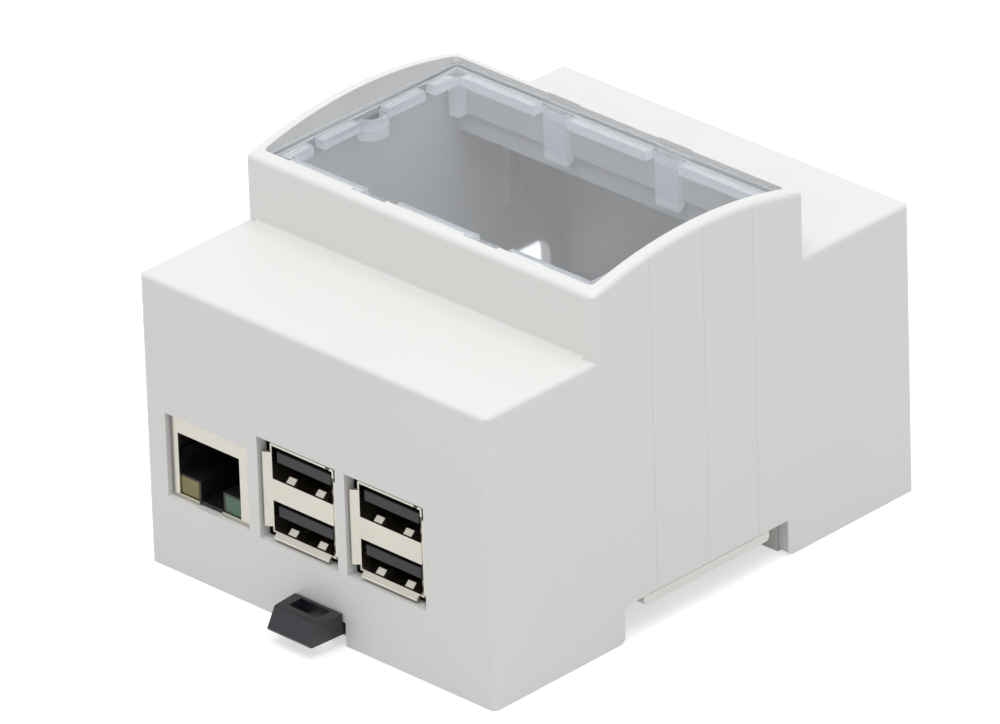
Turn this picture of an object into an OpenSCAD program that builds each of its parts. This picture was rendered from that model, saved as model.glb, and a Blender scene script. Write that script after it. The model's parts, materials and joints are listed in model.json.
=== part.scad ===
// Enclosure for a 35 mm mounting rail, with a single-board computer inside.
// X runs along the rail, the socket face looks to -Y, and +Z points away from the rail.
// The origin is the centre of the face that seats on the rail. All sizes are in millimetres.

/* [Cover] */
// Length along the rail
body_w = 71; // [70:0.5:90]
// Depth across the rail
body_d = 90.5; // [88:0.5:96]
// Height of the shoulders above the rail seat
shoulder_h = 43.9; // [38:0.1:48]
// Height of the crown above the rail seat
crown_h = 57.7; // [56:0.1:66]
// Rise of the end walls' arc above its chord
crown_rise = 3.2; // [2:0.1:4]
// Depth of the raised part
raised_d = 45; // [42:0.5:52]
// How far the feet reach below the rail seat
foot_drop = 4.4; // [4:0.1:6]
// Wall of the cover
wall = 2; // [1.6:0.1:2.4]
// Radius of the outer edges
edge_r = 1; // [0.6:0.1:1.4]
// Radius of the upright corners inside
inner_r = 0.8; // [0.4:0.1:1.2]
// Fillet at the foot of the raised walls
fillet_r = 0.7; // [0.3:0.1:1.2]
// Distance of the guide ribs from the middle
guide_y = 31.5; // [28:0.5:36]
// Slot between two guide ribs
guide_slot = 1.8; // [1.6:0.1:2.4]
// Thickness of a guide rib
guide_t = 1; // [0.8:0.1:1.4]
// How far a guide rib stands off the end wall
guide_reach = 1.2; // [0.8:0.1:1.6]
// Height above the rail seat where the guide ribs start
guide_foot = 26; // [24:0.5:30]

/* [Rail seat] */
// Width of the mounting rail
rail_w = 35; // [34.8:0.1:35.2]
// Thickness of the rail's lips
lip_t = 1; // [1:0.1:1.2]
// Gap between the rail and each side of the notch
rail_gap = 0.1; // [0.05:0.05:0.3]
// Width of the strip that seats on the rail
seat_w = 27; // [25:0.5:29]
// Relief over the rail's lips, beside the seat
relief_h = 1.5; // [1:0.1:1.8]
// Radius of the corners at the notch's mouth
mouth_r = 1.2; // [0.6:0.1:1.6]
// How far the fixed hooks and the clip reach under a lip
hook_reach = 1.5; // [1:0.1:2]
// Thickness of a fixed hook
hook_t = 1.6; // [1.2:0.1:2]
// Length of a fixed hook
hook_len = 10; // [6:0.5:14]
// Distance of the fixed hooks from the middle
hook_x = 18; // [12:0.5:22]
// Gap between a lip and what grips it
grip_gap = 0.2; // [0.1:0.05:0.3]

/* [Base] */
// Floor and walls of the base
base_t = 1.8; // [1.5:0.1:2.2]
// Gap between the base and the cover
base_gap = 0.2; // [0.1:0.05:0.3]
// Rim round the base
rim_t = 1.4; // [1.2:0.1:1.8]
// Distance of the snap tongues from the middle
snap_y = 22; // [21.6:0.1:22.4]
// Width of a snap tongue
snap_w = 4.8; // [4:0.1:5]
// Height of a snap tongue over the rim
snap_h = 2.3; // [2:0.1:2.6]
// How far a snap tooth stands out
snap_tooth = 0.6; // [0.4:0.1:0.8]
// Diameter of the posts under the board
post_d = 6; // [5:0.1:7]
// Diameter of the screw holes in the posts
pilot_d = 2.1; // [2:0.05:2.2]
// Depth of the screw holes in the posts
pilot_depth = 4.2; // [4:0.1:4.4]

/* [Window] */
// Thickness of the clear panel
panel_t = 1.5; // [1.2:0.1:2]
// Gap all round the clear panel
panel_gap = 0.2; // [0.1:0.05:0.3]
// How far the panel lies below the arc's chord
panel_sink = 0.2; // [0:0.1:0.6]
// Width of the ledge that carries the panel
ledge_w = 0.8; // [0.6:0.1:1.2]
// Height of the ledge on the end walls
ledge_h = 1.2; // [1:0.1:2]
// Height of the band that the snap legs catch under
band_h = 7.1; // [6:0.1:8]
// Width of the ribs under the panel
rib_w = 2; // [1.5:0.1:2.5]
// Depth of the ribs under the panel
rib_h = 1.6; // [1:0.1:2.4]
// Distance of the snap legs from the middle
leg_x = 11.4; // [9:0.1:14]
// Width of a snap leg
leg_w = 4.7; // [3.5:0.1:5.5]
// Thickness of a snap leg
leg_t = 1.1; // [0.9:0.1:1.4]
// Free space beside a snap leg
leg_gap = 1; // [0.6:0.1:1.5]
// Depth of the recesses in the rim over the snap legs
leg_recess = 0.4; // [0.2:0.1:0.8]
// Height of a snap leg's tooth
leg_tooth = 1.4; // [1:0.1:2]
// Distance of the gaps in the end ribs from the middle
break_y = 11.85; // [8:0.05:14]
// Length of the gaps in the end ribs
break_w = 2.1; // [1:0.1:3]
// Outer radius of the sealing loops
loop_r = 2.8; // [2:0.1:3.5]
// Wall of the sealing loops
loop_t = 0.9; // [0.6:0.1:1.2]
// Depth of the sealing loops below the panel
loop_h = 3.2; // [2:0.1:5]

/* [Rail clip] */
// Width of the clip
clip_w = 9.75; // [9:0.05:11]
// Width of the grip at its tip
grip_tip_w = 8.8; // [8:0.1:9]
// How far the grip stands out of the socket face
grip_l = 6.75; // [6:0.05:9]
// Height of the grip
grip_h = 3.45; // [3:0.05:4.5]
// Length of the flat on top of the grip, from the socket face
grip_flat = 4.65; // [4:0.05:5.5]
// Thickness of the clip's shank
shank_t = 1.6; // [1.4:0.1:2]
// Gap between the clip and its guides
clip_gap = 0.3; // [0.2:0.05:0.4]
// Gap between the clip and the floor
clip_lift = 0.2; // [0.1:0.05:0.3]
// Travel of the clip
clip_travel = 4; // [2.5:0.1:4]
// Width of the pull slot
slot_w = 6.1; // [4:0.1:6.5]
// Length of the pull slot
slot_l = 2.7; // [2:0.1:3]
// Distance of the pull slot from the socket face
slot_inset = 0.85; // [0.6:0.05:1]
// Outer radius of the spring bows
bow_r = 3; // [2.6:0.1:3.4]
// Thickness of the spring bows
bow_t = 0.8; // [0.6:0.1:1]
// Width of the guides beside the clip
guide_w = 1.5; // [1:0.1:2]

/* [Board] */
// Width of the circuit board
board_w = 56; // [56:0.1:56.5]
// Thickness of the circuit board
board_t = 1.4; // [1.2:0.1:1.8]
// Radius of the board's corners
board_r = 3; // [1:0.5:3.5]
// Height of the board's underside above the rail seat
board_h = 6.6; // [6:0.1:7]
// Distance from the board's side edge to the cover's end wall
board_side = 0.55; // [0.4:0.05:0.8]
// Distance from the board's socket edge to the socket face
board_front = 3.3; // [3:0.1:3.5]
// Gap between the board's far edge and the cover
board_back = 0.2; // [0.2:0.05:0.5]
// Diameter of the board's holes
hole_d = 2.7; // [2.6:0.1:3]
// Distance of the board's holes from its edges
hole_inset = 3.5; // [3.3:0.1:3.7]
// Distance of the near holes from the board's socket edge
hole_front = 23.5; // [23:0.1:24]
// Diameter of the screws' heads
screw_head_d = 4.6; // [4:0.1:5]
// Height of the screws' heads
screw_head_h = 1.7; // [1.4:0.1:2]
// Diameter of the screws' shanks
screw_d = 2; // [1.8:0.1:2]
// Length of the screws' shanks
screw_l = 5; // [4.5:0.1:5.2]

/* [Sockets] */
// Distance of the network socket's middle from the board's side edge
network_u = 10.25; // [10:0.05:10.5]
// Distance of the left stacked socket's middle from the board's side edge
left_u = 29; // [28.8:0.1:29.2]
// Distance of the right stacked socket's middle from the board's side edge
right_u = 47; // [46.8:0.1:47.2]
// Setback of the network socket from the socket face
network_setback = 0.8; // [0.5:0.1:1.2]
// Setback of the stacked sockets from the socket face
stack_setback = 0.5; // [0.3:0.1:0.8]
// Gap beside a socket in the socket face
port_gap = 0.5; // [0.4:0.05:0.6]
// Width of the network socket
network_w = 16; // [15.5:0.1:16.2]
// Height of the network socket
network_h = 13.5; // [13:0.1:14]
// Length of the network socket
network_l = 21.3; // [20.5:0.1:22]
// Width of a stacked socket over its flared lips
stack_w = 15.1; // [14.6:0.1:15.2]
// Height of a stacked socket over its flared lips
stack_h = 16; // [15.6:0.1:16.2]
// Length of a stacked socket
stack_l = 17.5; // [16.5:0.1:18.5]
// How far the lips flare sideways
flare_u = 1; // [0.8:0.1:1.2]
// How far the lips flare up and down
flare_z = 0.6; // [0.5:0.1:0.8]
// Sheet metal of the sockets
sheet = 0.35; // [0.3:0.05:0.4]
// Thickness of the plug tongues
tongue_t = 1.84; // [1.7:0.02:2]
// Width of the front plate between two stacked ports
divider_h = 3.6; // [3.2:0.1:4]

/* [Side connectors] */
// Distance of the video socket's middle from the socket edge
video_v = 53; // [52.6:0.1:53.4]
// Distance of the power socket's middle from the board's far edge
power_back = 10.6; // [10.4:0.1:11]
// Distance of the audio jack's middle from the socket edge
audio_v = 31.5; // [31.2:0.1:32]
// Width of the video socket
video_w = 15; // [14.6:0.1:15.2]
// Height of the video socket
video_h = 6; // [5.6:0.1:6.4]
// Length of the video socket
video_l = 11.5; // [11:0.1:12]
// How far the video socket overhangs the board
video_over = 1.1; // [0.6:0.1:1.4]
// Width of the power socket
power_w = 7.6; // [7.4:0.1:8]
// Height of the power socket
power_h = 2.9; // [2.7:0.1:3.1]
// Length of the power socket
power_l = 5.6; // [5.2:0.1:6]
// How far the power socket overhangs the board
power_over = 0.8; // [0.5:0.1:1.2]
// Width of the audio jack
audio_w = 7; // [6.8:0.1:7.2]
// Height of the audio jack
audio_h = 6; // [6:0.1:6.4]
// Length of the audio jack's block
audio_l = 12.5; // [12:0.1:13]
// Outer diameter of the audio jack's sleeve
sleeve_d = 5.6; // [5.4:0.1:5.8]
// Diameter of the audio jack's bore
audio_bore_d = 3.6; // [3.5:0.05:3.7]
// Width of the cut-out for the video plug
video_cut_w = 22; // [21:0.5:22]
// Height of the cut-out for the video plug
video_cut_h = 12.5; // [12:0.1:13]
// Size of the cut-out for the power plug
power_cut = 13.6; // [13:0.1:13.8]
// Size of the cut-out for the audio plug
audio_cut = 9; // [8:0.1:10]
// Corner radius of the cut-outs in the end wall
cut_r = 3; // [2:0.1:4]

/* [Chips and headers] */
// Side of the processor
processor_side = 14; // [12:0.1:15]
// Side of the network chip
network_chip_side = 9; // [7:0.1:10]
// Room for a screw's head at each end of the header
header_gap = 3.5; // [3:0.1:4]
// Pitch of the header's pins
header_pitch = 2.54; // [2:0.02:2.54]
// Thickness of a header pin
pin_side = 0.64; // [0.5:0.02:0.7]
// Length of a header pin
pin_l = 11.5; // [10:0.1:12]
// Length of a ribbon connector
ribbon_l = 22; // [20:0.1:22.5]
// Thickness of a ribbon connector
ribbon_t = 2.5; // [2.2:0.1:3]
// Height of a ribbon connector
ribbon_h = 5.5; // [5:0.1:6]
// Side of the memory card slot
card_side = 13.6; // [13:0.1:14.5]
// Height of the memory card slot
card_h = 1.4; // [1.2:0.1:1.6]

/* [Hidden] */

$fn = 48;
// Sides of the circles that draw the long arc
arc_fn = 720;
// Depth to which joined solids run into each other
eps = 0.01;
// How far a cut runs past the surface that it opens
past = 1;

// Cover
foot_z = -foot_drop;
inner_x = body_w / 2 - wall;
inner_y = body_d / 2 - wall;
raised_in = raised_d / 2 - wall;
half_chord = raised_d / 2;
crown_r = (half_chord * half_chord + crown_rise * crown_rise) / (2 * crown_rise);
crown_axis_z = crown_h - crown_r;
chord_z = crown_h - crown_rise;
ceiling_z = shoulder_h - wall;

// Rail notch
notch_half = rail_w / 2 + rail_gap;
seat_gap = 0.1;
rim_z = relief_h + base_t;
lip_z = -lip_t - grip_gap;
hook_tip = rail_w / 2 - hook_reach;

// Base
base_x = inner_x - base_gap;
base_y = inner_y - base_gap;
tongue_wall = 1.2;
tooth_h = 1;
tooth_drop = 0.4;
tooth_z = rim_z + snap_h - tooth_h - tooth_drop;
pocket_gap = 0.3;
pocket_lift = 0.2;
seat_end_r = 0.8;

// Window
panel_z1 = chord_z - panel_sink;
panel_z0 = panel_z1 - panel_t;
band_z0 = panel_z0 - band_h;
rib_gap = 0.1;
rib_x = inner_x - ledge_w - rib_gap;
rib_y = raised_in - ledge_w - rib_gap;
loop_gap = 0.3;
leg_tip = 0.4;

// Clip
clip_half = clip_w / 2;
face_y = -body_d / 2;
clip_z0 = foot_z + base_t + clip_lift;
shank_z1 = clip_z0 + shank_t;
guide_half = clip_half + clip_gap;
guide_z1 = shank_z1 + clip_gap;
nose_y = -hook_tip;
nose_back_y = -notch_half - clip_gap;
bow_y = -(notch_half + base_y) / 2;
grip_chamfer_y = 0.35;
grip_chamfer_z = 0.12;
grip_nose = 0.5;
grip_nose_y = 0.15;
grip_nose_z = 0.1;
grip_front_z = 0.45;

// Board
board_x0 = -inner_x + board_side;
board_y0 = face_y + board_front;
board_l = body_d - wall - board_front - board_back;
board_z1 = board_h + board_t;
hole_us = [hole_inset, board_w - hole_inset];
hole_vs = [hole_front, board_l - hole_inset];
power_v = board_l - power_back;
plug_lift = 0.3;
screw_brim = 0.6;
screw_crown = 0.75;
recess_l = 2.4;
recess_w = 0.5;
recess_h = 0.9;
pin_hole_d = 1;

// Network socket, measured from its middle, its front and the board's top
network_open_x0 = -6.8;
network_open_x1 = 6;
network_open_z0 = 0.6;
network_open_z1 = 10.8;
network_notch_x0 = -2.7;
network_notch_x1 = 2;
network_cavity_l = 14.4;
network_drop = 0.1;
network_rise = 0.3;
lamp_z1 = 3.8;
lamp_gap = 0.3;
lamp_side = 0.4;
lamp_setback = 0.3;
lamp_l = 8;
leaf_z = 6;
leaf_h = 2;
leaf_l = 3.2;
leaf_bend = 0.5;
leaf_t = 0.3;
leaf_root = 0.4;
leaf_room = 0.3;
wire_n = 8;
wire_pitch = 1.02;
wire_t = 0.35;
wire_bend = 0.4;
wire_front = 1.6;
wire_back = 9;
wire_z = 8.3;
lamp_left = [network_open_x0, network_notch_x0 - lamp_side];
lamp_right = [network_notch_x1 + lamp_side, network_open_x1];

// Stacked sockets, measured from their middle, their lips' front and the board's top
stack_z0 = 0.1;
stack_foot = stack_z0 + flare_z;
stack_half = stack_w / 2 - flare_u;
stack_top = stack_z0 + stack_h - flare_z;
lip_depth = 0.7;
side_lip_low = 1;
side_lip_high = 1.4;
end_lip_side = 0.9;
divider_mid = 7.9;
divider_l = 11;
divider_z0 = divider_mid - divider_h / 2;
divider_z1 = divider_mid + divider_h / 2;
port_floors = [stack_foot + sheet, divider_z1];
port_ceilings = [divider_z0, stack_top - sheet];
tongue_w = 11.2;
tongue_gap = 0.9;
tongue_tip = 1.1;
foot_inset = 2;
foot_gap = 0.4;
spring_x = 3;
spring_w = 1.6;
spring_rise = 0.7;
spring_y0 = 1.1;
spring_y1 = 1.9;
spring_y2 = 2.6;
spring_y3 = 5.6;
contact_pitch = 2.5;
contact_mid = 1;
contact_w = 1;
contact_t = 0.25;
contact_start = 0.6;
contact_end = 0.4;
contact_slope = 0.6;

// Side connectors
video_cut = 1.5;
video_shoulder = 1.6;
video_back = 3;
video_tongue_w = 10.4;
video_tongue_z = 2.9;
video_tongue_t = 1;
tongue_inset = 0.8;
power_cut_side = 1;
power_shoulder = 0.9;
power_block = 1.3;
power_tongue_w = 4;
power_tongue_z = 1.5;
power_tongue_t = 0.6;
sleeve_back = 0.2;
sleeve_l = board_side + wall - sleeve_back;
bore_back = 1.5;

// Chips and small parts, from the board's side edge and its socket edge
processor_u = 32;
processor_v = 59.5;
processor_base_h = 0.7;
processor_h = 1.3;
processor_step = 0.8;
network_chip_u = 30;
network_chip_v = 30;
network_chip_h = 1;
chip_lift = 0.05;
chip_foot = 1;
lead_n = 12;
lead_pitch = 0.65;
lead_w = 0.3;
lead_l = 1;
lead_t = 0.15;
lead_z = 0.4;
lead_knee = 0.3;
lead_foot = 0.45;
supply_chip_u = 14;
supply_chip_v = 70;
supply_chip_side = 4;
supply_chip_h = 0.9;
capacitor_u = 9;
capacitor_v = 66.5;
capacitor_base = 5.3;
capacitor_base_h = 0.9;
capacitor_d = 5;
capacitor_h = 4.6;
crystal_u = 42;
crystal_v = 30;
crystal_w = 3.2;
crystal_l = 5;
crystal_h = 0.8;
crystal_r = 0.4;
camera_u = 12;
camera_v = 40;
display_u = 28;
display_back = 4;
display_v = board_l - display_back;
latch_h = 1.2;
latch_notch = 0.7;
ribbon_slot_w = 0.4;
ribbon_slot_mid = 0.05;
ribbon_wall = 1.5;
card_u = 28;
card_inset = 9;
card_v = board_l - card_inset;
card_mouth_w = 11.4;
card_mouth_z0 = 0.25;
card_mouth_z1 = 1.1;
card_back = 1;
status_u = 46;
status_back = 2.5;
status_v = board_l - status_back;
status_pitch = 3.5;
status_w = 0.8;
status_l = 1.6;
status_h = 0.7;
header_u = board_w - hole_inset;
header_v = (hole_vs[0] + hole_vs[1]) / 2;
header_n = floor((hole_vs[1] - hole_vs[0] - 2 * header_gap) / header_pitch);
header_h = 2.5;
header_cell = [[-1, -0.6], [-0.6, -1], [0.6, -1], [1, -0.6], [1, 0.6], [0.6, 1], [-0.6, 1], [-1, 0.6]];
pin_below = 1.6;
cap_w = 1;
cap_l = 1.6;
cap_h = 0.8;
cap_pitch = 2.4;
cap_off_processor = 2.2;
cap_off_network = 3;

module box(lo, hi) translate(lo) cube(hi - lo);

module along_x(length) rotate([90, 0, 90]) linear_extrude(length, center = true) children();

module along_y(length) rotate([90, 0, 0]) linear_extrude(length, center = true) children();

// Rectangle with round corners, centred
module round_rect(size, r) {
    square([size[0] - 2 * r, size[1]], center = true);
    square([size[0], size[1] - 2 * r], center = true);
    for (sx = [-1, 1], sy = [-1, 1])
        translate([sx * (size[0] / 2 - r), sy * (size[1] / 2 - r)]) circle(r);
}

// Upright block with round upright corners
module round_block(size, r, z0, z1) translate([0, 0, z0]) linear_extrude(z1 - z0) round_rect(size, r);

// Places its children on the board's top, at a distance from its side edge and its socket edge
module on_board(u, v) translate([board_x0 + u, board_y0 + v, board_z1]) children();

// ---------- cover ----------

// Section through the shoulders, with round top corners
module shoulder_section(width) {
    z_mid = shoulder_h - edge_r;
    translate([-width / 2, foot_z]) square([width, z_mid - foot_z]);
    translate([edge_r - width / 2, foot_z]) square([width - 2 * edge_r, shoulder_h - foot_z]);
    for (side = [-1, 1])
        translate([side * (width / 2 - edge_r), z_mid]) circle(edge_r);
}

// Section through the raised part: upright walls, an arc on top, round corners between them
module raised_section() {
    corner_y = half_chord - edge_r;
    corner_z = crown_axis_z + sqrt(pow(crown_r - edge_r, 2) - pow(corner_y, 2));
    touch_y = corner_y * crown_r / (crown_r - edge_r);
    translate([-half_chord, ceiling_z]) square([raised_d, corner_z - ceiling_z]);
    for (side = [-1, 1])
        translate([side * corner_y, corner_z]) circle(edge_r);
    intersection() {
        translate([0, crown_axis_z]) circle(crown_r, $fn = arc_fn);
        translate([-touch_y, ceiling_z]) square([2 * touch_y, crown_h]);
    }
}

// Disc on the arc's axis, whose rim gives the end walls their round outer edge
module crown_disc() {
    translate([0, 0, crown_axis_z])
        rotate([0, 90, 0])
            rotate_extrude($fn = arc_fn) {
                translate([0, edge_r - body_w / 2]) square([crown_r, body_w - 2 * edge_r]);
                translate([0, -body_w / 2]) square([crown_r - edge_r, body_w]);
                for (side = [-1, 1])
                    translate([crown_r - edge_r, side * (body_w / 2 - edge_r)]) circle(edge_r);
            }
}

module cover_form() {
    intersection() {
        along_x(body_w) shoulder_section(body_d);
        along_y(body_d) shoulder_section(body_w);
        round_block([body_w, body_d], edge_r, foot_z, shoulder_h);
    }
    intersection() {
        along_x(body_w) raised_section();
        crown_disc();
        round_block([body_w, raised_d], edge_r, ceiling_z, crown_h);
    }
    for (side = [0, 1])
        mirror([0, side, 0])
            translate([0, half_chord - eps, shoulder_h - eps])
                along_x(body_w - 4 * edge_r)
                    difference() {
                        square(fillet_r);
                        translate([fillet_r, fillet_r]) circle(fillet_r);
                    }
}

// Ledges round the window; on the long walls the ledge is a deep band
module window_ledges() {
    for (side = [0, 1]) {
        mirror([0, side, 0])
            box([-inner_x - eps, raised_in - ledge_w, band_z0], [inner_x + eps, raised_in + eps, panel_z0]);
        mirror([side, 0, 0])
            box([inner_x - ledge_w, -raised_in - eps, panel_z0 - ledge_h],
                [inner_x + eps, raised_in + eps, panel_z0]);
    }
}

// Pairs of upright ribs on the end walls, over the two shoulders
module guide_ribs() {
    for (mx = [0, 1], my = [0, 1], rib = [-1, 1])
        mirror([mx, 0, 0])
            mirror([0, my, 0])
                translate([0, guide_y + rib * (guide_slot + guide_t) / 2, 0])
                    box([inner_x - guide_reach, -guide_t / 2, guide_foot],
                        [inner_x + eps, guide_t / 2, ceiling_z + eps]);
}

// Opening of the rail notch in one end wall, with round mouth and ceiling corners
module notch_section() {
    top_z = relief_h + seat_gap;
    translate([-notch_half, foot_z - eps]) square([2 * notch_half, top_z - foot_z]);
    for (side = [0, 1])
        mirror([side, 0])
            translate([notch_half - eps, foot_z - eps])
                difference() {
                    square(mouth_r);
                    translate([mouth_r, mouth_r]) circle(mouth_r);
                }
}

// Cut-out in the socket face for a socket of this width, between two heights over the board
module socket_cutout(u, width, z0, z1)
    translate([board_x0 + u, 0, board_z1])
        box([-width / 2 - port_gap, face_y - past, z0], [width / 2 + port_gap, face_y + wall + past, z1]);

module socket_cutouts() {
    socket_cutout(network_u, network_w, -network_drop, network_h + network_rise);
    for (u = [left_u, right_u])
        socket_cutout(u, stack_w, stack_z0 - port_gap, stack_z0 + stack_h + port_gap);
}

// Cut-outs for the plugs in the end wall beside the board
module plug_cutouts() {
    translate([-body_w / 2, board_y0, board_z1]) {
        translate([0, video_v, video_h / 2]) along_x(3 * wall) round_rect([video_cut_w, video_cut_h], cut_r);
        translate([0, power_v, power_h / 2 + plug_lift])
            along_x(3 * wall) round_rect([power_cut, power_cut], cut_r);
        translate([0, audio_v, audio_h / 2]) along_x(3 * wall) round_rect([audio_cut, audio_cut], cut_r);
    }
}

module upper_cover() color("#d9d7d2") difference() {
    union() {
        difference() {
            cover_form();
            round_block([2 * inner_x, 2 * inner_y], inner_r, foot_z - past, ceiling_z);
            round_block([2 * inner_x, 2 * raised_in], inner_r, ceiling_z - past, crown_h + past);
        }
        window_ledges();
        guide_ribs();
    }
    along_x(body_w + 2 * past) notch_section();
    socket_cutouts();
    plug_cutouts();
    // slot for the clip, open at the bottom
    box([-guide_half, face_y - past, foot_z - past], [guide_half, face_y + wall + past, guide_z1]);
    // pockets for the base's snap teeth
    for (mx = [0, 1], my = [0, 1])
        mirror([mx, 0, 0])
            mirror([0, my, 0])
                box([inner_x - past, snap_y - snap_w / 2 - pocket_gap, tooth_z - pocket_lift],
                    [inner_x + snap_tooth, snap_y + snap_w / 2 + pocket_gap,
                        tooth_z + tooth_h + pocket_lift]);
    // recesses in the rim over the snap legs of the window
    for (mx = [0, 1], my = [0, 1])
        mirror([mx, 0, 0])
            mirror([0, my, 0])
                box([leg_x - leg_w / 2 - leg_gap, raised_in - past, panel_z0],
                    [leg_x + leg_w / 2 + leg_gap, raised_in + leg_recess, crown_h]);
}

// ---------- base ----------

// Room for the rail across the base, except for the seat
module rail_channel() {
    difference() {
        box([-base_x - past, -notch_half, foot_z - past], [base_x + past, notch_half, relief_h]);
        box([-base_x - 2 * past, -seat_w / 2, 0], [base_x + 2 * past, seat_w / 2, relief_h + past]);
    }
}

// Strip that seats on the rail and shows under the end walls
module seat_strip()
    along_x(body_w) {
        translate([-seat_w / 2, seat_end_r]) square([seat_w, relief_h - seat_end_r]);
        translate([seat_end_r - seat_w / 2, 0]) square([seat_w - 2 * seat_end_r, relief_h]);
        for (side = [-1, 1])
            translate([side * (seat_w / 2 - seat_end_r), seat_end_r]) circle(seat_end_r);
    }

// Hook under the rail's lip, with a slope that the rail slides over
module fixed_hook() {
    translate([hook_x, 0, 0])
        along_x(hook_len)
            polygon([[notch_half + eps, lip_z], [hook_tip, lip_z], [hook_tip, lip_z - hook_t / 2],
                [notch_half + eps, lip_z - hook_t]]);
}

// Two bridges that guide the clip, one at the socket face and one at the notch; its bows move between them
module clip_guides() {
    for (span = [[-base_y, bow_y - bow_r - clip_travel - clip_gap], [bow_y + bow_r + clip_gap, -notch_half]])
        box([-guide_half - guide_w, span[0], foot_z + eps],
            [guide_half + guide_w, span[1], guide_z1 + guide_w]);
}

// Tongue on the rim, with a tooth that snaps into the cover
module snap_tongue() {
    box([base_x - tongue_wall, snap_y - snap_w / 2, rim_z - base_t],
        [base_x, snap_y + snap_w / 2, rim_z + snap_h]);
    translate([0, snap_y, 0])
        along_y(snap_w)
            polygon([[base_x - eps, tooth_z], [base_x + snap_tooth, tooth_z],
                [base_x + snap_tooth, tooth_z + tooth_h / 3], [base_x - eps, tooth_z + tooth_h]]);
}

module board_posts() {
    for (u = hole_us, v = hole_vs)
        translate([board_x0 + u, board_y0 + v, foot_z + eps])
            cylinder(h = board_h - foot_z - eps, d = post_d);
}

module base() color("#dedcd6") {
    difference() {
        union() {
            difference() {
                round_block([2 * base_x, 2 * base_y], inner_r, foot_z, rim_z);
                // trays of the two feet
                for (my = [0, 1])
                    mirror([0, my, 0])
                        box([rim_t - base_x, notch_half + base_t, foot_z + base_t],
                            [base_x - rim_t, base_y - rim_t, rim_z + past]);
                // tray over the seat
                box([rim_t - base_x, base_t - seat_w / 2, base_t],
                    [base_x - rim_t, seat_w / 2 - base_t, rim_z + past]);
            }
            clip_guides();
            board_posts();
            for (mx = [0, 1], my = [0, 1])
                mirror([mx, 0, 0]) mirror([0, my, 0]) snap_tongue();
        }
        rail_channel();
        // way for the clip
        box([-guide_half, -base_y - past, foot_z + base_t], [guide_half, -notch_half + past, guide_z1]);
        for (u = hole_us, v = hole_vs)
            translate([board_x0 + u, board_y0 + v, board_h - pilot_depth])
                cylinder(h = pilot_depth + past, d = pilot_d);
    }
    seat_strip();
    for (mx = [0, 1])
        mirror([mx, 0, 0]) fixed_hook();
}

// ---------- window ----------

// Ribs under the panel, broken at the snap legs, at the loops and near the corners
module panel_ribs() {
    leg_break = leg_w / 2 + leg_gap;
    loop_break = loop_r + loop_gap;
    break_z = panel_z0 - rib_h - past;
    for (my = [0, 1])
        mirror([0, my, 0])
            difference() {
                box([-rib_x, rib_y - rib_w, panel_z0 - rib_h], [rib_x, rib_y, panel_z0 + eps]);
                for (x = [-leg_x, leg_x])
                    box([x - leg_break, 0, break_z], [x + leg_break, rib_y + past, panel_z0]);
            }
    for (mx = [0, 1])
        mirror([mx, 0, 0])
            difference() {
                box([rib_x - rib_w, -rib_y, panel_z0 - rib_h], [rib_x, rib_y, panel_z0 + eps]);
                for (y = [-break_y, break_y])
                    box([0, y - break_w / 2, break_z], [rib_x + past, y + break_w / 2, panel_z0]);
                box([0, -loop_break, break_z], [rib_x + past, loop_break, panel_z0]);
            }
}

// Snap leg with its tooth under the band
module snap_leg() {
    tooth_top = band_z0 - rib_gap;
    tooth_reach = raised_in - panel_gap;
    translate([leg_x, 0, 0])
        along_x(leg_w)
            polygon([[rib_y - leg_t, panel_z0 + eps], [rib_y, panel_z0 + eps], [rib_y, tooth_top],
                [tooth_reach, tooth_top], [tooth_reach, tooth_top - leg_tip],
                [rib_y - leg_t / 2, tooth_top - leg_tooth], [rib_y - leg_t, tooth_top - leg_tooth]]);
}

// Half round loop for a seal wire, on each end
module seal_loop() {
    translate([-rib_x + rib_w / 2, 0, panel_z0 - loop_h])
        linear_extrude(loop_h + eps)
            difference() {
                circle(loop_r);
                circle(loop_r - loop_t);
                translate([-2 * loop_r, -loop_r]) square([2 * loop_r, 2 * loop_r]);
            }
}

module window_panel() color("#b9cbd8", 0.45) {
    round_block([2 * (inner_x - panel_gap), 2 * (raised_in - panel_gap)], inner_r, panel_z0, panel_z1);
    panel_ribs();
    for (mx = [0, 1], my = [0, 1])
        mirror([mx, 0, 0])
            mirror([0, my, 0]) {
                snap_leg();
                // corner leg
                box([rib_x - rib_w, rib_y - rib_w, band_z0], [rib_x, rib_y, panel_z0 + eps]);
            }
    for (mx = [0, 1])
        mirror([mx, 0, 0]) seal_loop();
}

// ---------- rail clip ----------

module clip_grip() {
    back_y = face_y - clip_gap;
    tip_y = face_y - grip_l;
    top_z = clip_z0 + grip_h;
    slot_y = face_y - slot_inset;
    difference() {
        intersection() {
            along_x(clip_w)
                polygon([[back_y, clip_z0], [back_y, top_z], [face_y - grip_flat, top_z],
                    [face_y - grip_flat - grip_chamfer_y, top_z - grip_chamfer_z],
                    [tip_y, clip_z0 + grip_front_z], [tip_y + grip_nose_y, clip_z0 + grip_nose_z],
                    [tip_y + grip_nose, clip_z0]]);
            // plan of the grip, narrower at its tip
            translate([0, 0, clip_z0 - past])
                linear_extrude(grip_h + 2 * past)
                    polygon([[-clip_half, back_y], [clip_half, back_y],
                        [grip_tip_w / 2, tip_y], [-grip_tip_w / 2, tip_y]]);
        }
        box([-slot_w / 2, slot_y - slot_l, clip_z0 - past], [slot_w / 2, slot_y, top_z + past]);
    }
}

// Spring bow beside the shank
module spring_bow() {
    translate([clip_half - eps, bow_y, clip_z0])
        linear_extrude(shank_t)
            difference() {
                circle(bow_r);
                circle(bow_r - bow_t);
                translate([-2 * bow_r, -bow_r]) square([2 * bow_r, 2 * bow_r]);
            }
}

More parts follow.
